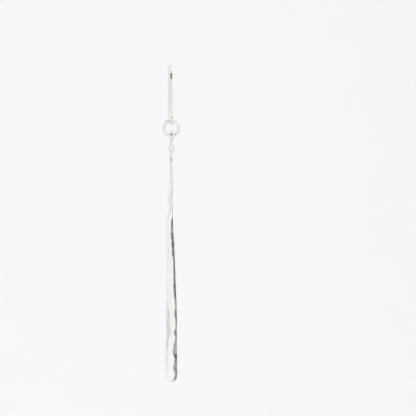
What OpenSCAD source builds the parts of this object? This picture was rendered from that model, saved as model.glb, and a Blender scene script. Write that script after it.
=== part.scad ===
// Bar earring: a hammered silver stick whose bent loop hangs in a jump ring on a French ear hook.
// Lengths are in millimetres and angles in degrees. Z is up, and the front faces -Y.
// The origin is the underside of the hook's bow, where the hook hangs in the ear.

/* [Ear hook] */
// Diameter of the ear wire
hook_wire_d = 0.8; // [0.6:0.05:1]
// Radius of the bow, to the middle of the wire
bow_r = 3; // [2.7:0.1:4.5]
// Width of the bow where it is hammered flattest
bow_flat_w = 1; // [0.8:0.05:1.3]
// Thickness of the bow where it is hammered flattest
bow_flat_t = 0.64; // [0.5:0.02:0.8]
// How far the tail's tip reaches below the origin
tail_drop = 11.7; // [8:0.1:14]
// Lean of the tail, away from the shank
tail_lean = 5; // [0:1:10]
// Lean of the shank below the bow, towards the tail
shank_lean = 8; // [2:1:12]
// Length of the leaning part of the shank
shank_lean_l = 3; // [2:0.1:5]
// Radius of the bend between the leaning part and the foot
shank_bend_r = 7; // [3:0.5:10]
// Flare of the shank's foot, forwards to the eye
foot_flare = 1; // [0:0.5:15]
// How far the eye reaches below the origin
eye_drop = 13.4; // [12:0.1:18]
// Hole of the eye
eye_hole_d = 1.35; // [1.2:0.05:2]
// Opening left between the end of the eye and the shank
eye_opening = 0.12; // [0.08:0.02:0.3]

/* [Jump ring] */
// Diameter of the ring's wire
ring_wire_d = 0.72; // [0.5:0.02:0.8]
// Outside width of the ring
ring_w = 4; // [3.6:0.1:7]
// How much taller than wide hand closing has left the ring
ring_oval = 0.2; // [0.1:0.05:3]
// Width of the hairline where the ring's ends meet
ring_cut = 0.04; // [0.02:0.01:0.1]

/* [Loop of the bar] */
// Diameter of the bar's round upper end
stem_d = 0.84; // [0.6:0.02:1]
// Hole of the loop
loop_hole_d = 0.9; // [0.9:0.05:1.8]
// Radius of the bends that close the loop on the stem
neck_r = 1.1; // [0.8:0.1:2]
// Length of the loop's end that lies along the stem
loop_end_l = 2.2; // [1.2:0.05:4]
// Width of the loop's end, where pliers have pressed it against the stem
loop_end_w = 1.2; // [0.8:0.05:1.5]
// Thickness of the loop's end, where pliers have pressed it against the stem
loop_end_t = 0.6; // [0.4:0.02:1]
// Gap between the loop's end and the stem
loop_seam = 0.04; // [0.02:0.01:0.1]

/* [Bar] */
// Length of the bar below the loop's end
bar_l = 52.3; // [30:0.1:80]
// Width of the bar above its rounded tip
bar_w = 3; // [2:0.02:5]
// Thickness of the bar above its rounded tip
bar_t = 0.54; // [0.4:0.02:1]
// Length of the rounding at the tip
tip_round_l = 1.6; // [0.8:0.1:2.5]
// Distance over which the stem comes in under the middle of the loop
stem_jog_l = 4; // [2:0.1:8]
// Depth of the dish that one hammer blow leaves
blow_depth = 0.035; // [0.01:0.005:0.06]

/* [Fit] */
// Gap where one piece bears on the next
link_gap = 0.06; // [0.04:0.01:0.1]

/* [Hidden] */
$fn = 96;
silver = [0.86, 0.86, 0.84];

// Sides of a swept wire, and the turn between two of its sections on a bend
hook_sides = 16;
bar_sides = 20;
bend_step = 12;

// How round the cross sections are: 2 is an oval, and more is squarer
round_wire = 2;
flat_wire = 2.8;

// Where the pieces bear on each other, one below the next
eye_r = (eye_hole_d + hook_wire_d) / 2;
eye_low = -eye_drop + hook_wire_d / 2;
ring_high = eye_low + hook_wire_d / 2 + link_gap + ring_wire_d / 2;
ring_low = ring_high - ring_w - ring_oval + ring_wire_d;
loop_high = ring_low + ring_wire_d / 2 + link_gap + stem_d / 2;

// A path lies in the YZ plane. Its heading is 0 upwards, 90 forwards and 180 downwards.
function along(heading) = [0, -sin(heading), cos(heading)];
function outward(heading) = [0, cos(heading), sin(heading)];

// Steps for a turn between two headings, without the first one
function turns(from, to) =
    let (n = ceil(abs(to - from) / bend_step))
    [for (i = [1 : n]) from + (to - from) * i / n];

// Value at a place in a table whose first column rises, smoothed between its rows
function row_at(table, at, i = 0) =
    i < len(table) - 2 && at > table[i + 1][0] ? row_at(table, at, i + 1) : i;
function table_value(table, at, column) =
    let (
        i = row_at(table, at),
        share = min(1, max(0, (at - table[i][0]) / (table[i + 1][0] - table[i][0]))),
        eased = share * share * (3 - 2 * share)
    )
    table[i][column] + (table[i + 1][column] - table[i][column]) * eased;

// Closed skin over a list of sections with equally many points
module skin(sections) {
    n = len(sections[0]);
    last = (len(sections) - 1) * n;
    sides = [
        for (j = [0 : len(sections) - 2], i = [0 : n - 1])
        let (k = (i + 1) % n, low = j * n, high = low + n)
        each [[low + i, high + i, high + k], [low + i, high + k, low + k]]
    ];
    ends = [[for (i = [0 : n - 1]) i], [for (i = [n - 1 : -1 : 0]) last + i]];
    polyhedron(points = [for (s = sections) each s], faces = concat(sides, ends), convexity = 6);
}

// One power of a sine or cosine that keeps its sign
function shaped(value, squareness) = sign(value) * pow(abs(value), 2 / squareness);

// Cross section of a wire across X and the outward direction of its heading
function wire_section(middle, heading, w, t, squareness, n) = [
    for (i = [0 : n - 1])
    let (a = 360 * (i + 0.5) / n)
    middle + [w / 2 * shaped(cos(a), squareness), 0, 0]
        + t / 2 * shaped(sin(a), squareness) * outward(heading)
];

// Forging of the bow. Columns: heading, share of the way from round wire to the flattest place
bow_forge = [
    [35, 0],
    [80, 0.8],
    [120, 1],
    [160, 0.9],
    [185, 0.25],
    [190, 0],
];

function forged(heading) = table_value(bow_forge, heading, 1);

// Places along the hook: [middle, heading, forging]
bow_middle = [0, 0, bow_flat_t / 2 - bow_r];
bow_start = tail_lean;
bow_end = 180 + shank_lean;
tail_top = bow_middle + bow_r * outward(bow_start);
tail_l = (tail_top[2] + tail_drop) / cos(tail_lean);
shank_top = bow_middle + bow_r * outward(bow_end);
shank_bend_top = shank_top + shank_lean_l * along(bow_end);
shank_bend_middle = shank_bend_top + shank_bend_r * outward(bow_end);
shank_end = 180 - foot_flare;
shank_foot = shank_bend_middle - shank_bend_r * outward(shank_end);
eye_start_z = eye_low + eye_r - eye_r * outward(shank_end)[2];
foot_l = (shank_foot[2] - eye_start_z) / cos(foot_flare);
eye_start = shank_foot + foot_l * along(shank_end);
eye_middle = eye_start + eye_r * outward(shank_end);
eye_turn = 360 - 2 * asin((hook_wire_d + eye_opening) / 2 / eye_r);

hook_places = concat(
    [for (h = turns(bow_start, bow_end)) [bow_middle + bow_r * outward(h), h, forged(h)]],
    [[shank_bend_top, bow_end, 0]],
    [for (h = turns(bow_end, shank_end)) [shank_bend_middle - shank_bend_r * outward(h), h, 0]],
    [[eye_start, shank_end, 0]],
    [for (h = turns(shank_end, shank_end - eye_turn)) [eye_middle - eye_r * outward(h), h, 0]]
);

// The tail is turned from its own axis, so that it is truly round where a stopper slides on.
// The swept wire starts inside it, a hair thinner, and comes out through its upper end.
tail_overlap = 0.5;
tail_short = 0.06;
tail_inset = 0.02;
tip_profile = [for (a = [0 : 15 : 90]) [hook_wire_d / 2 * sin(a), hook_wire_d / 2 * (1 - cos(a))]];

module tail() {
    translate(tail_top - tail_l * along(tail_lean))
        rotate([tail_lean, 0, 0])
            rotate_extrude()
                polygon(concat(tip_profile,
                    [[hook_wire_d / 2, tail_l - tail_short], [0, tail_l - tail_short]]));
}

module ear_hook() {
    wire_start = [
        for (reach = [tail_overlap, 0])
        wire_section(tail_top - reach * along(tail_lean), tail_lean,
            hook_wire_d - tail_inset, hook_wire_d - tail_inset, round_wire, hook_sides)
    ];
    wire = [
        for (p = hook_places)
        wire_section(p[0], p[1],
            hook_wire_d + (bow_flat_w - hook_wire_d) * p[2],
            hook_wire_d + (bow_flat_t - hook_wire_d) * p[2],
            round_wire + (flat_wire - round_wire) * p[2], hook_sides)
    ];
    color(silver) union() {
        tail();
        skin(concat(wire_start, wire));
    }
}

// The ring hangs in the eye, square to it
ring_bend_r = (ring_w - ring_wire_d) / 2;
ring_end_l = (ring_oval - ring_cut) / 2;

module ring_half() {
    rotate([90, 0, 0])
        rotate_extrude(angle = 180)
            translate([ring_bend_r, 0])
                circle(d = ring_wire_d);
}

module ring_side(l) {
    translate([ring_bend_r, 0, 0]) cylinder(d = ring_wire_d, h = l);
}

module jump_ring() {
    color(silver)
        translate([0, eye_middle[1], ring_high - ring_bend_r - ring_oval]) {
            translate([0, 0, ring_oval]) ring_half();
            mirror([0, 0, 1]) ring_half();
            mirror([1, 0, 0]) ring_side(ring_oval);
            ring_side(ring_end_l);
            translate([0, 0, ring_oval - ring_end_l]) ring_side(ring_end_l);
        }
}

// Loop of the bar: its end lies in front of the stem, and it goes up, over the ring and down behind
loop_r = (loop_hole_d + stem_d) / 2;
loop_middle = [0, eye_middle[1], loop_high - loop_r];
strand_y = (stem_d + loop_seam) / 2;
neck_drop = sqrt(pow(loop_r + neck_r, 2) - pow(strand_y + neck_r, 2));
neck_turn = atan((strand_y + neck_r) / neck_drop);
neck_front = loop_middle + [0, -strand_y - neck_r, -neck_drop];
neck_back = loop_middle + [0, strand_y + neck_r, -neck_drop];
end_low = loop_middle[2] - neck_drop - loop_end_l;
end_y = loop_middle[1] - (loop_end_t + loop_seam) / 2;
neck_foot = neck_front + neck_r * outward(0);
loop_end = [0, end_y, end_low];

// Places along the loop: [middle, heading, pressing]
loop_places = concat(
    [for (pressing = [1, 0.6, 0.3, 0]) [neck_foot + (loop_end - neck_foot) * pressing, 0, pressing]],
    [for (h = turns(0, 90 - neck_turn)) [neck_front + neck_r * outward(h), h, 0]],
    [for (h = turns(90 - neck_turn, neck_turn - 270)) [loop_middle - loop_r * outward(h), h, 0]],
    [for (h = turns(neck_turn - 270, -180)) [neck_back + neck_r * outward(h), h, 0]],
    [[[0, neck_back[1] - neck_r, end_low], -180, 0]]
);

// Outline of the bar below the loop's end. Columns: share of the length, edge on the left and
// edge on the right as shares of the bar's width, thickness as a share of the way from stem to
// tip, and turn of the face towards the right in degrees
bar_rows = [
    [0.000, 0.148, 0.148, 0.00, 0],
    [0.075, 0.150, 0.145, 0.00, 4],
    [0.130, 0.160, 0.140, 0.10, 9],
    [0.165, 0.195, 0.144, 0.20, 13],
    [0.210, 0.275, 0.108, 0.25, 15],
    [0.255, 0.185, 0.144, 0.25, 16],
    [0.295, 0.362, 0.146, 0.40, 17],
    [0.345, 0.366, 0.154, 0.50, 18],
    [0.400, 0.355, 0.210, 0.55, 19],
    [0.470, 0.365, 0.258, 0.65, 20],
    [0.540, 0.385, 0.315, 0.75, 20],
    [0.600, 0.398, 0.365, 0.80, 20],
    [0.665, 0.418, 0.420, 0.85, 20],
    [0.730, 0.424, 0.450, 0.90, 20],
    [0.795, 0.432, 0.446, 0.95, 20],
    [0.865, 0.466, 0.474, 1.00, 20],
    [0.920, 0.490, 0.490, 1.00, 20],
    [1.000, 0.500, 0.500, 1.00, 20],
];

// Hammer blows. Columns: share of the bar's length, tilt across the bar and tilt along it, both
// as the height that they add at the dish's rim over the dish's depth
blows = [
    [0.150, 1.0, 0.3],
    [0.205, -1.2, -0.3],
    [0.262, 1.2, 0.2],
    [0.318, -0.8, -0.2],
    [0.385, 0.5, 0.2],
    [0.452, -0.5, -0.2],
    [0.525, 0.3, 0.2],
    [0.600, -0.3, 0.0],
    [0.655, 0.8, -0.2],
    [0.710, -0.8, 0.2],
    [0.765, 0.5, 0.0],
    [0.815, -0.5, -0.2],
    [0.858, 1.0, 0.2],
    [0.905, -0.3, 0.0],
    [0.950, 0.5, -0.2],
    [0.990, -0.5, 0.2],
];

// Height of a hammered face over its mean, at a distance down the bar and a place across it.
// Each blow is a shallow dish, and the lowest dish is the one that shows. The back is struck
// between the blows on the front.
dish_half_l = bar_l / len(blows) / 2;
function dish(blow, down, across, side) =
    let (away = (down - blow[0] * bar_l) / dish_half_l - side)
    blow_depth * (away * away + blow[1] * across / (bar_w / 2) + blow[2] * away);
function face_height(down, across, side) =
    min([for (b = blows) dish(b, down, across, side)]) - blow_depth / 3;

// Rounding of the tip: how square its corners are, and the share of thickness left at the very end
tip_squareness = 2.3;
tip_thin = 0.45;

// Share of the bar's width, at a distance above the very end
function tip_share(above) =
    above >= tip_round_l ? 1
        : pow(1 - pow(1 - above / tip_round_l, tip_squareness), 1 / tip_squareness);

// A face is fully hammered, and its section fully squared, where this share of the forging is done
full_hammering = 0.33;
full_squaring = 0.5;

function bar_section(down) =
    let (
        share = down / bar_l,
        tip = tip_share(bar_l - down),
        left = table_value(bar_rows, share, 1) * bar_w * tip,
        right = table_value(bar_rows, share, 2) * bar_w * tip,
        forge = table_value(bar_rows, share, 3),
        t = (stem_d + (bar_t - stem_d) * forge) * (tip_thin + (1 - tip_thin) * tip),
        turn = table_value(bar_rows, share, 4),
        squareness = round_wire + (flat_wire - round_wire) * min(1, forge / full_squaring),
        jog = min(1, down / stem_jog_l),
        middle = [0, loop_middle[1] + strand_y * (1 - jog * jog * (3 - 2 * jog)), end_low - down],
        across = [cos(turn), sin(turn), 0],
        front = [sin(turn), -cos(turn), 0]
    )
    [
        for (i = [0 : bar_sides - 1])
        let (
            a = 360 * (i + 0.5) / bar_sides,
            x = (cos(a) > 0 ? right : left) * shaped(cos(a), squareness),
            hammered = min(1, forge / full_hammering) * face_height(down, x, sin(a) > 0 ? 0 : 1),
            y = (t / 2 + hammered) * shaped(sin(a), squareness)
        )
        middle + x * across + y * front
    ];

// Distances of the sections down the bar, closer together towards the very end of the tip
blade_steps = 64;
tip_steps = 7;
tip_end = 0.015;
tip_crowding = 1.6;
function tip_above(i) =
    tip_round_l * (tip_end + (1 - tip_end) * pow(1 - i / tip_steps, tip_crowding));
bar_downs = concat(
    [for (i = [1 : blade_steps]) (bar_l - tip_round_l) * i / blade_steps],
    [for (i = [1 : tip_steps]) bar_l - tip_above(i)]
);

module bar() {
    color(silver)
        skin(concat(
            [for (p = loop_places)
                wire_section(p[0], p[1],
                    stem_d + (loop_end_w - stem_d) * p[2],
                    stem_d + (loop_end_t - stem_d) * p[2],
                    round_wire + (flat_wire - round_wire) * p[2], bar_sides)],
            [for (down = bar_downs) bar_section(down)]
        ));
}

ear_hook();
jump_ring();
bar();
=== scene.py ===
import math

import bmesh
import bpy
from mathutils import Matrix, Vector


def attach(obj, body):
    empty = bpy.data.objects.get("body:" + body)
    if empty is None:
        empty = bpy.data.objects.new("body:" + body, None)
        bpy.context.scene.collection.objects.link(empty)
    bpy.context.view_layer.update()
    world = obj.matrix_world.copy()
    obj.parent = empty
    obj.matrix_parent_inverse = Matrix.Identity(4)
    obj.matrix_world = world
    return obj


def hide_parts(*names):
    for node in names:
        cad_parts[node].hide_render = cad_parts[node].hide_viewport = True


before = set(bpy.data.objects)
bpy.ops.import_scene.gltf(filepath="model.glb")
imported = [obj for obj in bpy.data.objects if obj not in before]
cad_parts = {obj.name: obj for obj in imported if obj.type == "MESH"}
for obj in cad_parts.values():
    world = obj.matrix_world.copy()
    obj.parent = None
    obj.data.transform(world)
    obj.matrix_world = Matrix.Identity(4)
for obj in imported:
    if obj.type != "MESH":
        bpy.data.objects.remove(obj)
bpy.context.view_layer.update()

# Ear hook. One drawn wire of sterling silver, 0.8 mm thick. Its bow is bent round a mandrel and
# planished flat, its foot is bent forwards into a small eye with round pliers, and the end of its
# long tail is filed round for the ear. Every piece is shaped in millimetres, as on the bench.

MM = 0.001
hook_wire_d = 0.8
bow_r = 3.0
bow_flat_w = 1.0
bow_flat_t = 0.64
bow_squareness = 0.15
tail_drop = 11.7
tail_lean = 5.0
shank_lean = 8.0
shank_lean_l = 3.0
shank_bend_r = 7.0
foot_flare = 1.0
eye_drop = 13.4
eye_hole_d = 1.35
eye_opening = 0.12
eye_tarnish_and_shade = 0.6
hook_cut_edge = 0.05
hook_sides = 32
merge_reach = 1e-5

# The filed end of the tail is half a ball: turns of its rings from the very end, in degrees
tip_step = 13
tip_turns = range(12, 91, tip_step)

# Share of the way from round wire to the flattest place, by the heading of the bow
bow_forge = [(35, 0), (80, 0.8), (120, 1), (160, 0.9), (185, 0.25), (190, 0)]
# Blows of the planishing hammer over the bow: heading, depth, tilt across and tilt up in degrees
bow_blows = [(50, 0.010, 2, 0), (68, 0.014, -3, 0), (86, 0.012, 2, 0), (103, 0.014, -2, 0),
             (118, 0.012, 3, 0), (134, 0.014, -2, 0), (160, 0.038, 4, 7), (180, 0.041, 5, 11)]
bow_blow_half = 9.0
# Share of the blows that shows, by the heading, and how far they have driven the face in
bow_planish = [(38, 0), (55, 1), (181, 1), (189, 0)]
bow_hammered = 0.019


def along(heading):
    """Way a wire goes in its plane: 0 is up, 90 forwards, 180 down."""
    return Vector((0, -math.sin(math.radians(heading)), math.cos(math.radians(heading))))


def outward(heading):
    """Way out from the middle of a bend, for a wire that turns forwards over it."""
    return Vector((0, math.cos(math.radians(heading)), math.sin(math.radians(heading))))


def eased(table, at, column=1):
    """Value at a place in a table of rows that rise, smoothed between them."""
    low = table[0]
    for high in table[1:]:
        if at <= high[0]:
            share = max(0.0, (at - low[0]) / (high[0] - low[0]))
            return low[column] + (high[column] - low[column]) * share * share * (3 - 2 * share)
        low = high
    return low[column]


def shaped(value, squareness):
    """One sine or cosine of a section: a squareness of 2 is a plain oval, and the hammer adds to it."""
    return math.copysign(abs(value) ** (2 / squareness), value)


def edges_in(parts):
    return [part for part in parts if isinstance(part, bmesh.types.BMEdge)]


def verts_in(parts):
    return [part for part in parts if isinstance(part, bmesh.types.BMVert)]


def verts_round(rim):
    """The points of a rim, each one once and in order."""
    return list(dict.fromkeys(vert for edge in rim for vert in edge.verts))


def start_wire(metal, middle, heading, d, sides):
    """The first section of a new wire, closed by the face of its cut end."""
    placing = Matrix.Translation(middle) @ Matrix.Rotation(math.radians(heading), 4, "X")
    bmesh.ops.create_circle(metal, cap_ends=True, segments=sides, radius=d / 2, matrix=placing)
    return list(metal.edges)


def draw_straight(metal, rim, way, rings=1):
    """Draws the wire straight on from its open rim, with evenly spaced rings."""
    made = bmesh.ops.extrude_edge_only(metal, edges=rim)["geom"]
    far = verts_in(made)
    bmesh.ops.translate(metal, verts=far, vec=way)
    new_rim = [edge for edge in edges_in(made) if edge.is_boundary]
    if rings > 1:
        sides = [edge for vert in far for edge in vert.link_edges if edge not in new_rim]
        bmesh.ops.subdivide_edges(metal, edges=sides, cuts=rings - 1, use_grid_fill=True)
    return new_rim


def draw_bend(metal, rim, middle, axis, turn, step):
    """Bends the wire on round a middle, with a ring to each step in degrees."""
    made = bmesh.ops.spin(
        metal, geom=verts_round(rim) + rim, cent=middle, axis=axis, dvec=(0, 0, 0),
        angle=math.radians(turn), steps=max(1, math.ceil(abs(turn) / step)), use_merge=False,
        use_normal_flip=False, use_duplicate=False)
    return edges_in(made["geom_last"])


def break_edge(metal, rim, width, steps):
    """Just breaks the edge of a sawn end with a file."""
    bmesh.ops.bevel(
        metal, geom=rim, offset=width, offset_type="OFFSET", affect="EDGES", segments=steps, profile=0.5,
        material=-1, clamp_overlap=True)


def finish_piece(shape, name, material):
    """Brings a finished piece from millimetres to metres and makes it an object."""
    bmesh.ops.remove_doubles(shape, verts=shape.verts, dist=merge_reach)
    bmesh.ops.recalc_face_normals(shape, faces=shape.faces)
    bmesh.ops.scale(shape, vec=(MM, MM, MM), verts=shape.verts)
    for face in shape.faces:
        face.smooth = True
    mesh = bpy.data.meshes.new(name)
    shape.to_mesh(mesh)
    shape.free()
    mesh.materials.append(material)
    piece = bpy.data.objects.new(name, mesh)
    bpy.context.scene.collection.objects.link(piece)
    return piece


def feed(node, inputs):
    """Gives each named input of a node its value, or joins it to the output that feeds it."""
    for socket, value in inputs.items():
        if isinstance(value, bpy.types.NodeSocket):
            node.id_data.links.new(value, node.inputs[socket])
        else:
            node.inputs[socket].default_value = value


def add_node(tree, kind, inputs, **settings):
    """A new node with its settings and with its inputs fed."""
    node = tree.nodes.new(kind)
    for setting, value in settings.items():
        setattr(node, setting, value)
    feed(node, inputs)
    return node


def worked_out(tree, operation, *values):
    """Result of one operation on numbers or outputs."""
    return add_node(tree, "ShaderNodeMath", dict(enumerate(values)), operation=operation).outputs["Value"]


def ranged(tree, value, old, new=(0.0, 1.0), **settings):
    """A value moved from the range between two values to the range between two others."""
    inputs = {"Value": value, "From Min": old[0], "From Max": old[1], "To Min": new[0], "To Max": new[1]}
    return add_node(tree, "ShaderNodeMapRange", inputs, **settings).outputs["Result"]


def blended(tree, share, first, second):
    """A colour between two others: at a share of 0 the first, at 1 the second."""
    inputs = {"Factor": share, "A": first, "B": second}
    return add_node(tree, "ShaderNodeMix", inputs, data_type="RGBA").outputs["Result"]


def noise(tree, place, fineness, detail=2.0, roughness=0.5):
    """A value that is uneven from place to place. A higher fineness gives smaller patches."""
    inputs = {"Vector": place, "Scale": fineness, "Detail": detail, "Roughness": roughness}
    return add_node(tree, "ShaderNodeTexNoise", inputs).outputs["Fac"]


def start_group(name, inputs, outputs):
    """An empty group of nodes whose named inputs and outputs are single numbers."""
    group = bpy.data.node_groups.new(name, "ShaderNodeTree")
    for in_out, sockets in (("INPUT", inputs), ("OUTPUT", outputs)):
        for socket in sockets:
            group.interface.new_socket(socket, in_out=in_out, socket_type="NodeSocketFloat")
    return group


# Polishing strokes run two ways. For each: its turn in radians, and its scale along its own three
# axes, where a low scale draws the strokes out
stroke_ways = [((0.3, 0.2, 0.5), (1, 0.03, 0.05)), ((1.1, 0.7, 2.0), (0.04, 1, 0.05))]
# Wear begins where its noise passes the first limit, and is full at the second
wear_fineness = 600.0
wear_limits = (0.4, 0.65)


def marks_group():
    """Fine polishing lines and soft planishing waves, as heights, and a mask of wear."""
    group = start_group("polishing_marks", ("Line fineness", "Wave fineness"), ("Lines", "Waves", "Wear"))
    given = group.nodes.new("NodeGroupInput").outputs
    place = group.nodes.new("ShaderNodeTexCoord").outputs["Object"]
    strokes = []
    for turn, stretch in stroke_ways:
        turned = add_node(group, "ShaderNodeMapping", {"Vector": place, "Rotation": turn, "Scale": stretch})
        strokes.append(noise(
            group, turned.outputs["Vector"], given["Line fineness"], detail=3.0, roughness=0.7))
    patches = noise(group, place, wear_fineness, detail=4.0, roughness=0.65)
    add_node(group, "NodeGroupOutput", {
        "Lines": worked_out(group, "MINIMUM", *strokes),
        "Waves": noise(group, place, given["Wave fineness"], detail=1.5, roughness=0.45),
        "Wear": ranged(group, patches, wear_limits)})
    return group


polishing_marks = marks_group()
silver_bright = (0.965, 0.960, 0.945, 1)
silver_dull = (0.87, 0.855, 0.82, 1)
# Darker colour for recesses and contacts: real tarnish and painted contact shade together
silver_tarnish_and_shade = (0.62, 0.57, 0.48, 1)
wear_dulling = 0.35
polished_rough = 0.06
worn_rough = 0.1


def silver(name, line_depth, line_fineness, wave_depth, wave_fineness):
    """Polished sterling silver: bright metal, faint wear, and tarnish where no cloth reaches, with painted
    shade darkening the same recesses and the places where parts bear on each other.
    """
    material = bpy.data.materials.new(name)
    material.use_nodes = True
    tree = material.node_tree
    marks = add_node(
        tree, "ShaderNodeGroup", {"Line fineness": line_fineness, "Wave fineness": wave_fineness},
        node_tree=polishing_marks)
    wear = marks.outputs["Wear"]
    dulled = worked_out(tree, "MULTIPLY", wear, wear_dulling)
    worn = blended(tree, dulled, silver_bright, silver_dull)
    # This attribute blends the metal towards the darker colour: real tarnish and painted contact shade
    # together
    tarnish_and_shade = add_node(tree, "ShaderNodeAttribute", {}, attribute_name="tarnish_and_shade").outputs["Fac"]
    waved = add_node(tree, "ShaderNodeBump", {
        "Height": marks.outputs["Waves"], "Distance": wave_depth * MM})
    lined = add_node(tree, "ShaderNodeBump", {
        "Height": marks.outputs["Lines"], "Distance": line_depth * MM, "Normal": waved.outputs["Normal"]})
    feed(tree.nodes["Principled BSDF"], {
        "Metallic": 1.0,
        "Base Color": blended(tree, tarnish_and_shade, worn, silver_tarnish_and_shade),
        "Roughness": ranged(tree, wear, (0.0, 1.0), (polished_rough, worn_rough)),
        "Normal": lined.outputs["Normal"]})
    return material


bow_middle = Vector((0, 0, bow_flat_t / 2 - bow_r))
bow_end = 180 + shank_lean
tail_top = bow_middle + bow_r * outward(tail_lean)
tail_l = (tail_top.z + tail_drop) / math.cos(math.radians(tail_lean))
tail_tip = tail_top - tail_l * along(tail_lean)
shank_top = bow_middle + bow_r * outward(bow_end)
shank_bend_top = shank_top + shank_lean_l * along(bow_end)
shank_bend_middle = shank_bend_top + shank_bend_r * outward(bow_end)
shank_end = 180 - foot_flare
shank_foot = shank_bend_middle - shank_bend_r * outward(shank_end)
eye_r = (eye_hole_d + hook_wire_d) / 2
eye_low = -eye_drop + hook_wire_d / 2
eye_start_z = eye_low + eye_r - eye_r * outward(shank_end).z
foot_l = (shank_foot.z - eye_start_z) / math.cos(math.radians(foot_flare))
eye_start = shank_foot + foot_l * along(shank_end)
eye_middle = eye_start + eye_r * outward(shank_end)
eye_turn = 360 - 2 * math.degrees(math.asin((hook_wire_d + eye_opening) / 2 / eye_r))

wire = bmesh.new()
first_turn = math.radians(tip_turns[0])
reach = hook_wire_d / 2 * (1 - math.cos(first_turn))
rim = start_wire(wire, tail_tip + reach * along(tail_lean), tail_lean, hook_wire_d * math.sin(first_turn),
                 hook_sides)
for turn in tip_turns[1:]:
    rise = hook_wire_d / 2 * (1 - math.cos(math.radians(turn)))
    middle = tail_tip + rise * along(tail_lean)
    rim = draw_straight(wire, rim, (rise - reach) * along(tail_lean))
    wider = math.sin(math.radians(turn)) / math.sin(math.radians(turn - tip_step))
    to_middle = Matrix.Translation(-middle)
    bmesh.ops.scale(wire, vec=(wider, wider, wider), space=to_middle, verts=verts_round(rim))
    reach = rise
rim = draw_straight(wire, rim, (tail_l - reach) * along(tail_lean), rings=24)
rim = draw_bend(wire, rim, bow_middle, (1, 0, 0), bow_end - tail_lean, step=2.0)
rim = draw_straight(wire, rim, shank_lean_l * along(bow_end), rings=10)
rim = draw_bend(wire, rim, shank_bend_middle, (1, 0, 0), shank_end - bow_end, step=1.0)
rim = draw_straight(wire, rim, foot_l * along(shank_end), rings=14)
rim = draw_bend(wire, rim, eye_middle, (1, 0, 0), -eye_turn, step=6.0)
bmesh.ops.contextual_create(wire, geom=rim)
break_edge(wire, rim, hook_cut_edge, steps=2)

# The hammer flattens the bow: each point keeps its place round the wire and moves to the forged section
for vert in wire.verts:
    out = (vert.co - bow_middle).yz
    heading = math.degrees(math.atan2(out.y, out.x)) % 360
    forged = eased(bow_forge, heading)
    if forged <= 0:
        continue
    angle = math.atan2(out.length - bow_r, vert.co.x)
    squareness = 2 + bow_squareness * forged
    width = hook_wire_d + (bow_flat_w - hook_wire_d) * forged
    thickness = hook_wire_d + (bow_flat_t - hook_wire_d) * forged
    across = width / 2 * shaped(math.cos(angle), squareness)
    struck = min(depth * ((heading - at) / bow_blow_half) ** 2 + across * math.tan(math.radians(tilt))
                 + bow_r * math.radians(heading - at) * math.tan(math.radians(rise))
                 for at, depth, tilt, rise in bow_blows)
    planished = eased(bow_planish, heading) if angle > 0 else 0
    height = (thickness / 2 + planished * (struck - bow_hammered)) * shaped(math.sin(angle), squareness)
    vert.co = bow_middle + (bow_r + height) * outward(heading) + Vector((across, 0, 0))

# Inside the eye, below its middle where the ring bears, the silver is darkened: tarnish, and painted contact
# shade
tarnish_and_shade = wire.verts.layers.float.new("tarnish_and_shade")
for vert in wire.verts:
    bearing = (vert.co - eye_middle).yz.length < eye_r and vert.co.z < eye_middle.z
    vert[tarnish_and_shade] = eye_tarnish_and_shade if bearing else 0.0
hook = finish_piece(wire, "ear_hook_silver", silver(
    "hook_silver", line_depth=0.0006, line_fineness=9000, wave_depth=0.004, wave_fineness=1200))
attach(hook, "hook")
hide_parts("ear_hook")

# Jump ring. One turn of 0.72 mm sterling silver wire, sawn from a coil and closed by hand round the
# hook's eye and the bar's loop, which has left it a little taller than wide. Its sawn ends meet in
# a hairline on the right.

ring_wire_d = 0.72
ring_w = 4.0
ring_oval = 0.2
ring_cut = 0.04
ring_cut_tarnish_and_shade = 0.8
ring_bearing_half = 0.5
ring_bearing_tarnish_and_shade = 0.5
ring_sides = 28
link_gap = 0.06

ring_bend_r = (ring_w - ring_wire_d) / 2
ring_high = eye_low + hook_wire_d / 2 + link_gap + ring_wire_d / 2
ring_low = ring_high - ring_w - ring_oval + ring_wire_d
ring_upper = Vector((0, eye_middle.y, ring_high - ring_bend_r))
ring_lower = Vector((0, eye_middle.y, ring_low + ring_bend_r))
ring_middle = (ring_upper + ring_lower) / 2
ring_end_l = (ring_oval - ring_cut) / 2
up = Vector((0, 0, 1))

wire = bmesh.new()
ring_start = ring_upper + Vector((ring_bend_r, 0, -ring_end_l))
rim = start_wire(wire, ring_start, 0, ring_wire_d, ring_sides)
rim = draw_straight(wire, rim, ring_end_l * up)
rim = draw_bend(wire, rim, ring_upper, (0, 1, 0), -180, step=3.0)
rim = draw_straight(wire, rim, -ring_oval * up)
rim = draw_bend(wire, rim, ring_lower, (0, 1, 0), -180, step=3.0)
rim = draw_straight(wire, rim, ring_end_l * up)
bmesh.ops.contextual_create(wire, geom=rim)
# The sawn cut and the inside of the ring where it bears on the eye and the loop are darkened: tarnish, and
# painted shade in the cut and at the contacts
tarnish_and_shade = wire.verts.layers.float.new("tarnish_and_shade")
for vert in wire.verts:
    out = (vert.co - ring_middle).xz
    at_cut = out.x > 0 and abs(out.y) < ring_cut
    bearing = abs(out.x) < ring_bearing_half and out.length < ring_bend_r
    vert[tarnish_and_shade] = ring_cut_tarnish_and_shade if at_cut else ring_bearing_tarnish_and_shade if bearing else 0.0
ring = finish_piece(wire, "jump_ring_silver", silver(
    "ring_silver", line_depth=0.0006, line_fineness=9000, wave_depth=0.003, wave_fineness=1500))
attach(ring, "ring")
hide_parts("jump_ring")

# Bar. One piece of 0.84 mm round wire of sterling silver. Its upper end is bent into the loop, with
# the cut end pressed against the stem by pliers. The rest is forged on a stake into a blade that
# widens to a rounded tip, and keeps the facets of the hammer on both faces.

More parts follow.
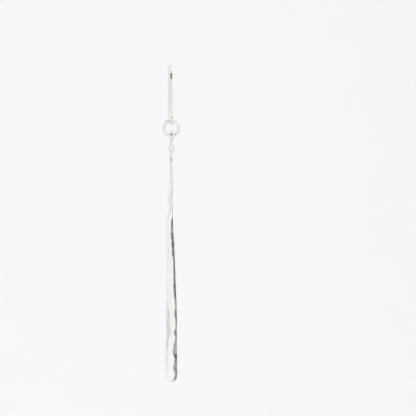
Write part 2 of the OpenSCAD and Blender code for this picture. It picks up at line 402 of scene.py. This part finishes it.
stem_d = 0.84
stem_jog_l = 4.0
loop_hole_d = 0.9
neck_r = 1.1
loop_end_l = 2.2
loop_end_w = 1.2
loop_end_t = 0.6
loop_end_squareness = 0.8
loop_seam = 0.04
loop_cut_edge = 0.08
bar_l = 52.276
bar_w = 3.0
bar_t = 0.54
bar_sides = 64
bar_rings = 420
hair = 0.001

# Share of the pliers' full squeeze, by the share of the height from the cut end to the neck
loop_squeeze = [(0.25, 1), (1, 0)]
# The flat that the pliers leave on the loop: its heading, its turn to the side and its depth
plier_flat_heading = 167.5
plier_flat_side = -10.0
plier_flat_depth = 0.034

# The seam beside the loop's end, from a little below the cut to a little above the neck's foot, and the
# inside of the loop are darkened: tarnish, and painted shade in the seam and where the ring bears
seam_below = 0.1
seam_above = 0.3
seam_half_t = 0.15
seam_tarnish_and_shade = 0.9
loop_inside = 0.2
loop_tarnish_and_shade = 0.5

# Section of the blade: how far its faces are crowned, how sharp its edges are, and the share of the
# forging at which each side is squared and the blows show in full
face_crown = 0.063
edge_sharpness = 48
left_squared = 0.32
right_squared = 0.6
fully_struck = 0.33

# Rounded tip: its length and squareness, how much thinner its end is, and how fast the blows fade
# out. The rings gather towards the end, and the last one stops just short of it.
tip_round_l = 1.6
tip_squareness = 2.3
tip_thinning = 0.2
tip_fade = 1.5
tip_gather = 1.8
tip_stop = 0.9995

# Outline below the loop's end: share of the length, edge on the left and on the right as shares of
# the width, share of the way from stem to tip thickness, turn of the face to the right in degrees
bar_rows = [
    (0.000, 0.148, 0.148, 0.00, 0),
    (0.075, 0.150, 0.145, 0.00, 4),
    (0.130, 0.160, 0.140, 0.10, 9),
    (0.165, 0.195, 0.144, 0.20, 13),
    (0.210, 0.275, 0.108, 0.25, 15),
    (0.255, 0.185, 0.144, 0.25, 16),
    (0.295, 0.362, 0.146, 0.54, 17),
    (0.345, 0.366, 0.154, 0.57, 18),
    (0.400, 0.355, 0.230, 0.60, 19),
    (0.470, 0.365, 0.266, 0.65, 20),
    (0.540, 0.385, 0.315, 0.75, 20),
    (0.600, 0.398, 0.365, 0.80, 20),
    (0.665, 0.418, 0.420, 0.85, 20),
    (0.730, 0.424, 0.450, 0.90, 20),
    (0.795, 0.432, 0.446, 0.95, 20),
    (0.865, 0.466, 0.474, 1.00, 20),
    (0.920, 0.490, 0.490, 1.00, 20),
    (1.000, 0.500, 0.500, 1.00, 20),
]

# Hammer blows down the front: share of the length, tilt of the facet to the right and upwards in
# degrees over the bar's own turn
front_blows = [
    (0.150, 1.0, 0.4), (0.190, -2.0, -0.6), (0.222, 2.0, 0.3), (0.245, 1.5, -0.5), (0.280, 8.0, 0.5),
    (0.312, 8.0, 0.2), (0.340, 6.6, 0.4), (0.372, 6.6, -0.3), (0.398, 6.2, -0.5), (0.430, 4.0, 0.3),
    (0.457, 2.6, 0.4), (0.483, 1.6, -0.3), (0.510, -1.3, 0.3), (0.540, -0.8, 0.5), (0.569, -0.8, -0.2),
    (0.599, -0.1, 0.4), (0.624, -1.0, 0.2), (0.650, -3.0, -0.3), (0.680, -3.3, 0.3), (0.711, -1.8, 0.4),
    (0.739, -3.6, -0.3), (0.764, -3.9, 0.2), (0.790, -1.2, 0.3), (0.819, -2.9, 0.4), (0.838, -0.6, -0.3),
    (0.858, 3.0, -1.3), (0.878, 0.4, 0.1), (0.899, -0.9, -0.3), (0.920, -0.6, 0.3), (0.942, 0.2, 0.2),
    (0.966, -0.8, -0.3), (0.989, 0.0, 0.3),
]
# The back's blows are evenly spaced, and lean a little every way
back_blow_from = 0.17
back_blow_step = 0.039
back_blow_count = 22
back_tilt = 2.4
back_rise = 0.4
back_blows = [
    (back_blow_from + back_blow_step * i, back_tilt * math.sin(2.4 * i), back_rise * math.cos(1.7 * i))
    for i in range(back_blow_count)]
blow_half_l = 1.15
# Rise of a blow's dish to its edge, by the share of the length: harder on the stem and near the tip
blow_depths = [(0.10, 0.012), (0.27, 0.012), (0.31, 0.007), (0.66, 0.007), (0.82, 0.018), (1.00, 0.018)]
# Glancing blows on the left edge: share of the length, where the facet starts across, tilt
edge_blows = [(0.711, -0.52, 7.0), (0.781, -0.34, 7.5), (0.837, -0.87, 9.0), (0.905, -1.12, 9.0)]
edge_half_l = 2.0
edge_depth = 0.06
# The front face leans back towards the tip, in degrees, from this share of the length on
tip_lean = 0.85
tip_lean_from = 0.83

loop_high = ring_low + ring_wire_d / 2 + link_gap + stem_d / 2
loop_r = (loop_hole_d + stem_d) / 2
loop_middle = Vector((0, eye_middle.y, loop_high - loop_r))
strand_y = (stem_d + loop_seam) / 2
neck_drop = math.sqrt((loop_r + neck_r) ** 2 - (strand_y + neck_r) ** 2)
neck_turn = math.degrees(math.atan((strand_y + neck_r) / neck_drop))
neck_front = loop_middle + Vector((0, -strand_y - neck_r, -neck_drop))
neck_back = loop_middle + Vector((0, strand_y + neck_r, -neck_drop))
neck_foot = neck_front + neck_r * outward(0)
end_low = loop_middle.z - neck_drop - loop_end_l
end_y = loop_middle.y - (loop_end_t + loop_seam) / 2
loop_end = Vector((0, end_y, end_low))


def facet_height(blows, share, x):
    """Height of a hammered face over the plain one, x from where its facets turn. The deepest blow shows."""
    heights = []
    for at, tilt, rise in blows:
        down = (share - at) * bar_l
        dish = eased(blow_depths, at) * (down / blow_half_l) ** 2
        heights.append(dish - x * math.tan(math.radians(tilt)) + down * math.tan(math.radians(rise)))
    # The mean height of a dish is a third of its rise, and taking that off keeps the bar's thickness
    return min(heights) - eased(blow_depths, share) / 3


def edge_height(share, x):
    """Height of the glancing blows that have turned the left edge down."""
    heights = [0.0]
    for at, start, tilt in edge_blows:
        away = (share - at) * bar_l / edge_half_l
        heights.append((x - start) * math.tan(math.radians(tilt)) + edge_depth * away * away)
    return min(heights)


def tip_share(above):
    """Share of the width that is left at a distance above the very end."""
    if above >= tip_round_l:
        return 1.0
    return max(0.0, 1 - (1 - above / tip_round_l) ** tip_squareness) ** (1 / tip_squareness)


def forge_bar(vert):
    """Moves a point of the straight drawn wire to where the hammer leaves it."""
    down = end_low - vert.co.z
    knee = bar_l - tip_round_l
    if down > knee:
        left_over = max(0.0, 1 - (down - knee) / tip_round_l)
        down = knee + tip_round_l * (1 - left_over ** tip_gather) * tip_stop
    share = down / bar_l
    tip = tip_share(bar_l - down)
    left, right = (eased(bar_rows, share, column) * bar_w * tip for column in (1, 2))
    forge = eased(bar_rows, share, 3)
    turn = math.radians(eased(bar_rows, share, 4))
    thickness = (stem_d + (bar_t - stem_d) * forge) * (1 - tip_thinning * (1 - tip) ** 2)

    angle = math.atan2(-(vert.co.y - (loop_middle.y + strand_y)), vert.co.x)
    across = math.cos(angle)
    half_w = right if across > 0 else left
    x = half_w * across
    squared = min(1, forge / (right_squared if across > 0 else left_squared))
    crowned = 1 - face_crown * half_w * across * across / (thickness / 2)
    flat = crowned * math.sqrt(max(0.0, 1 - across ** edge_sharpness))
    section = abs(math.sin(angle)) * (1 - squared) + flat * squared

    # The front's facets turn about the middle of its right half, the back's about the bar's middle
    front = math.sin(angle) > 0
    if front:
        leant = max(0, share - tip_lean_from) * bar_l * math.tan(math.radians(tip_lean))
        struck = facet_height(front_blows, share, x - right / 2) + edge_height(share, x) - leant
    else:
        struck = facet_height(back_blows, share, -x)
    showing = min(1, forge / fully_struck) * min(1.0, tip * tip_fade)
    height = (thickness / 2 + showing * struck) * section * (1 if front else -1)
    jog = min(1, down / stem_jog_l)
    middle_y = loop_middle.y + strand_y * (1 - jog * jog * (3 - 2 * jog))
    vert.co = Vector((
        x * math.cos(turn) + height * math.sin(turn),
        middle_y + x * math.sin(turn) - height * math.cos(turn),
        end_low - down))


stick = bmesh.new()
rim = start_wire(stick, loop_end, 0, stem_d, bar_sides)
rim = draw_straight(stick, rim, neck_foot - loop_end, rings=12)
rim = draw_bend(stick, rim, neck_front, (1, 0, 0), 90 - neck_turn, step=4.0)
rim = draw_bend(stick, rim, loop_middle, (1, 0, 0), 2 * neck_turn - 360, step=5.0)
rim = draw_bend(stick, rim, neck_back, (1, 0, 0), 90 - neck_turn, step=4.0)
rim = draw_straight(stick, rim, -loop_end_l * up, rings=8)
rim = draw_straight(stick, rim, -bar_l * up, rings=bar_rings)
bmesh.ops.contextual_create(stick, geom=rim)
for vert in stick.verts:
    if vert.co.z < end_low - hair:
        forge_bar(vert)

# Pliers press the loop's end against the stem: wider, thinner and a little squared off
for vert in stick.verts:
    if vert.co.y < loop_middle.y and end_low - hair < vert.co.z < neck_foot.z + hair:
        reach = (vert.co.z - end_low) / (neck_foot.z - end_low)
        squeeze = eased(loop_squeeze, reach)
        middle_y = end_y + (neck_foot.y - end_y) * max(0, reach)
        angle = math.atan2(-(vert.co.y - middle_y), vert.co.x)
        squareness = 2 + loop_end_squareness * squeeze
        width = stem_d + (loop_end_w - stem_d) * squeeze
        thickness = stem_d + (loop_end_t - stem_d) * squeeze
        vert.co.x = width / 2 * shaped(math.cos(angle), squareness)
        vert.co.y = middle_y - thickness / 2 * shaped(math.sin(angle), squareness)

# The pliers that bent the loop leave a small flat on the front of its upper half
flat_way = Matrix.Rotation(math.radians(plier_flat_side), 3, "Z") @ outward(plier_flat_heading)
flat_reach = loop_r * flat_way.yz.length + stem_d / 2 - plier_flat_depth
for vert in stick.verts:
    proud = (vert.co - loop_middle).dot(flat_way) - flat_reach
    if proud > 0:
        vert.co -= proud * flat_way

cut_rim = [edge for edge in stick.edges
           if all(vert.co.y < loop_middle.y and abs(vert.co.z - end_low) < hair for vert in edge.verts)]
break_edge(stick, cut_rim, loop_cut_edge, steps=3)

# The seam and the inside of the loop are darkened: tarnish, and painted contact shade
tarnish_and_shade = stick.verts.layers.float.new("tarnish_and_shade")
for vert in stick.verts:
    beside_end = end_low - seam_below < vert.co.z < neck_foot.z + seam_above
    in_seam = beside_end and abs(vert.co.y - loop_middle.y) < seam_half_t
    in_loop = (vert.co - loop_middle).yz.length < loop_r - loop_inside and vert.co.z > neck_foot.z
    vert[tarnish_and_shade] = seam_tarnish_and_shade if in_seam else loop_tarnish_and_shade if in_loop else 0.0
bar = finish_piece(stick, "bar_silver", silver(
    "bar_silver", line_depth=0.0008, line_fineness=7000, wave_depth=0.006, wave_fineness=1100))
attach(bar, "drop")
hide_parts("bar")

# Studio. A sheet of plain pale paper, swept up from the floor into a backdrop, and a white tent all
# round that gives soft light. The tent has the few darker things that polished silver mirrors in any
# studio: a gap on each side, an open front high up, and cloth that is a little grey in front.

floor_z = -250.0
floor_half_w = 900.0
floor_front_y = -1150.0
sweep_y = 1000.0
sweep_r = 80.0
wall_top = 1500.0
paper_tones = ((0.875, 0.880, 0.890, 1), (0.879, 0.884, 0.892, 1))
paper_tone_fineness = 3.0
paper_rough = 0.9
paper_gloss = 0.1

sweep = bmesh.new()
left_end = sweep.verts.new((-floor_half_w, floor_front_y, floor_z))
right_end = sweep.verts.new((floor_half_w, floor_front_y, floor_z))
rim = [sweep.edges.new((left_end, right_end))]
rim = draw_straight(sweep, rim, Vector((0, sweep_y - sweep_r - floor_front_y, 0)))
# The sides of the sheet are open edges as well, so the one across its far end is picked out
rim = [edge for edge in rim if abs(edge.verts[0].co.y - edge.verts[1].co.y) < hair]
rim = draw_bend(sweep, rim, (0, sweep_y - sweep_r, floor_z + sweep_r), (1, 0, 0), 90, step=3.0)
rim = draw_straight(sweep, rim, (wall_top - floor_z - sweep_r) * up)

paper = bpy.data.materials.new("studio_paper")
paper.use_nodes = True
tree = paper.node_tree
place = tree.nodes.new("ShaderNodeTexCoord").outputs["Object"]
feed(tree.nodes["Principled BSDF"], {
    "Base Color": blended(tree, noise(tree, place, paper_tone_fineness), *paper_tones),
    "Roughness": paper_rough,
    "Specular IOR Level": paper_gloss})
floor = finish_piece(sweep, "floor", paper)

# Two lamps light the paper alone: one its back, one the floor in front. Columns: name, place, what it
# points at, width, energy
lamp_spread = 56.0
lamps = [
    ("backdrop_lamp", (0, 0.15, 1.1), (0, 0.92, 0), 1.0, 1.74),
    ("floor_lamp", (0, -0.9, 0.5), (0, -0.9, -0.25), 0.6, 0.3),
]
for name, place, target, width, energy in lamps:
    lamp_data = bpy.data.lights.new(name, "AREA")
    lamp_data.size = width
    lamp_data.energy = energy
    lamp_data.spread = math.radians(lamp_spread)
    lamp = bpy.data.objects.new(name, lamp_data)
    bpy.context.scene.collection.objects.link(lamp)
    lamp.location = place
    lamp.rotation_mode = "QUATERNION"
    lamp.rotation_quaternion = (Vector(target) - Vector(place)).to_track_quat("-Z", "Y")
    lamp.visible_glossy = False
    lamp.visible_camera = False

# The tent: its tone at the sides and overhead, the elevations between which the one becomes the
# other, and the plain backing that the camera sees
tent_side = (1.04, 1.035, 1.025, 1)
tent_top = (0.98, 0.97, 0.95, 1)
tent_rise = (15.0, 60.0)
tent_backing = (0.93, 0.93, 0.93, 1)
# Soft folds in the tent's cloth, and how much darker or lighter they make it
fold_fineness = 7.0
fold_limits = (0.35, 0.65)
fold_shades = (0.93, 1.02)
# Things in the tent. Columns: middle in degrees, azimuth from the front towards the right and
# elevation, half width and half height, softness of the edge, colour
tent_things = [
    ("front_cloth", 2, 0, 48, 40, 0.30, (0.97, 0.965, 0.955, 1)),
    ("front_grey", 20, -2.5, 7.5, 7.5, 0.25, (0.72, 0.72, 0.71, 1)),
    ("front_top", 0, 62, 24, 20, 0.30, (0.84, 0.81, 0.75, 1)),
    ("open_front", -8, 31.5, 21, 13.5, 0.12, (0.03, 0.02, 0.012, 1)),
    ("gap_right", 56.2, 0, 9.3, 75, 0.15, (0.42, 0.46, 0.49, 1)),
    ("gap_right_core", 56.2, -1.25, 6.8, 1.1, 0.5, (0.06, 0.058, 0.06, 1)),
    ("gap_right_seam", 48.4, -8.5, 1.7, 6.5, 0.20, (0.22, 0.25, 0.28, 1)),
    ("gap_left", -54, 0, 14, 75, 0.25, (0.43, 0.375, 0.30, 1)),
]


def thing_group():
    """Mask of one thing in the tent: a rounded oblong in azimuth and elevation with a soft edge."""
    group = start_group("thing_in_tent", (
        "Azimuth", "Elevation", "Middle azimuth", "Middle elevation", "Half width", "Half height",
        "Inner edge", "Outer edge"), ("Mask",))
    given = group.nodes.new("NodeGroupInput").outputs
    powers = []
    for place, middle, half in (("Azimuth", "Middle azimuth", "Half width"),
                                ("Elevation", "Middle elevation", "Half height")):
        away = worked_out(group, "SUBTRACT", given[place], given[middle])
        share = worked_out(group, "DIVIDE", away, given[half])
        square = worked_out(group, "MULTIPLY", share, share)
        powers.append(worked_out(group, "MULTIPLY", square, square))
    # The root of the two fourth powers is the share of the way from the thing's middle to its edge
    away = worked_out(group, "POWER", worked_out(group, "ADD", *powers), 1 / 4)
    soft = ranged(group, away, (given["Inner edge"], given["Outer edge"]), (1.0, 0.0),
                  interpolation_type="SMOOTHSTEP")
    add_node(group, "NodeGroupOutput", {"Mask": soft})
    return group


tent = bpy.data.worlds.new("white_tent")
bpy.context.scene.world = tent
tent.use_nodes = True
tree = tent.node_tree
way = tree.nodes.new("ShaderNodeTexCoord").outputs["Generated"]
parts = add_node(tree, "ShaderNodeSeparateXYZ", {"Vector": way}).outputs
front = worked_out(tree, "MULTIPLY", parts["Y"], -1.0)
azimuth = worked_out(tree, "DEGREES", worked_out(tree, "ARCTAN2", parts["X"], front))
elevation = worked_out(tree, "DEGREES", worked_out(tree, "ARCSINE", parts["Z"]))
colour = blended(tree, ranged(tree, elevation, tent_rise), tent_side, tent_top)
thing_in_tent = thing_group()
for name, middle_azimuth, middle_elevation, half_w, half_h, softness, tint in tent_things:
    mask = add_node(tree, "ShaderNodeGroup", {
        "Azimuth": azimuth, "Elevation": elevation,
        "Middle azimuth": middle_azimuth, "Middle elevation": middle_elevation,
        "Half width": half_w, "Half height": half_h,
        "Inner edge": 1 - softness, "Outer edge": 1 + softness}, node_tree=thing_in_tent, name=name)
    colour = blended(tree, mask.outputs["Mask"], colour, tint)
shade = ranged(tree, noise(tree, way, fold_fineness), fold_limits, fold_shades)
folded = add_node(tree, "ShaderNodeVectorMath", {"Vector": colour, "Scale": shade}, operation="SCALE")
seen = tree.nodes.new("ShaderNodeLightPath").outputs["Is Camera Ray"]
feed(tree.nodes["Background"], {
    "Color": blended(tree, seen, folded.outputs["Vector"], tent_backing)})

# The camera: level with the middle of the picture, a little to the left of the earring's own front
picture_w = 94.74
picture_centre = Vector((8.56, 0, -32.06))
camera_azimuth = -4.2
camera_distance = 900.0
sensor_w = 36.0

camera_data = bpy.data.cameras.new("camera")
camera_data.sensor_width = sensor_w
camera_data.lens = sensor_w * camera_distance / picture_w
camera_data.clip_start = 0.01
camera_data.clip_end = 20.0
camera = bpy.data.objects.new("camera", camera_data)
bpy.context.scene.collection.objects.link(camera)
turn = math.radians(camera_azimuth)
back = Vector((math.sin(turn), -math.cos(turn), 0))
camera.location = (picture_centre + back * camera_distance) * MM
camera.rotation_mode = "QUATERNION"
camera.rotation_quaternion = (-back).to_track_quat("-Z", "Y")
bpy.context.scene.camera = camera
bpy.context.scene.view_settings.view_transform = "Standard"
bpy.context.scene.view_settings.look = "None"
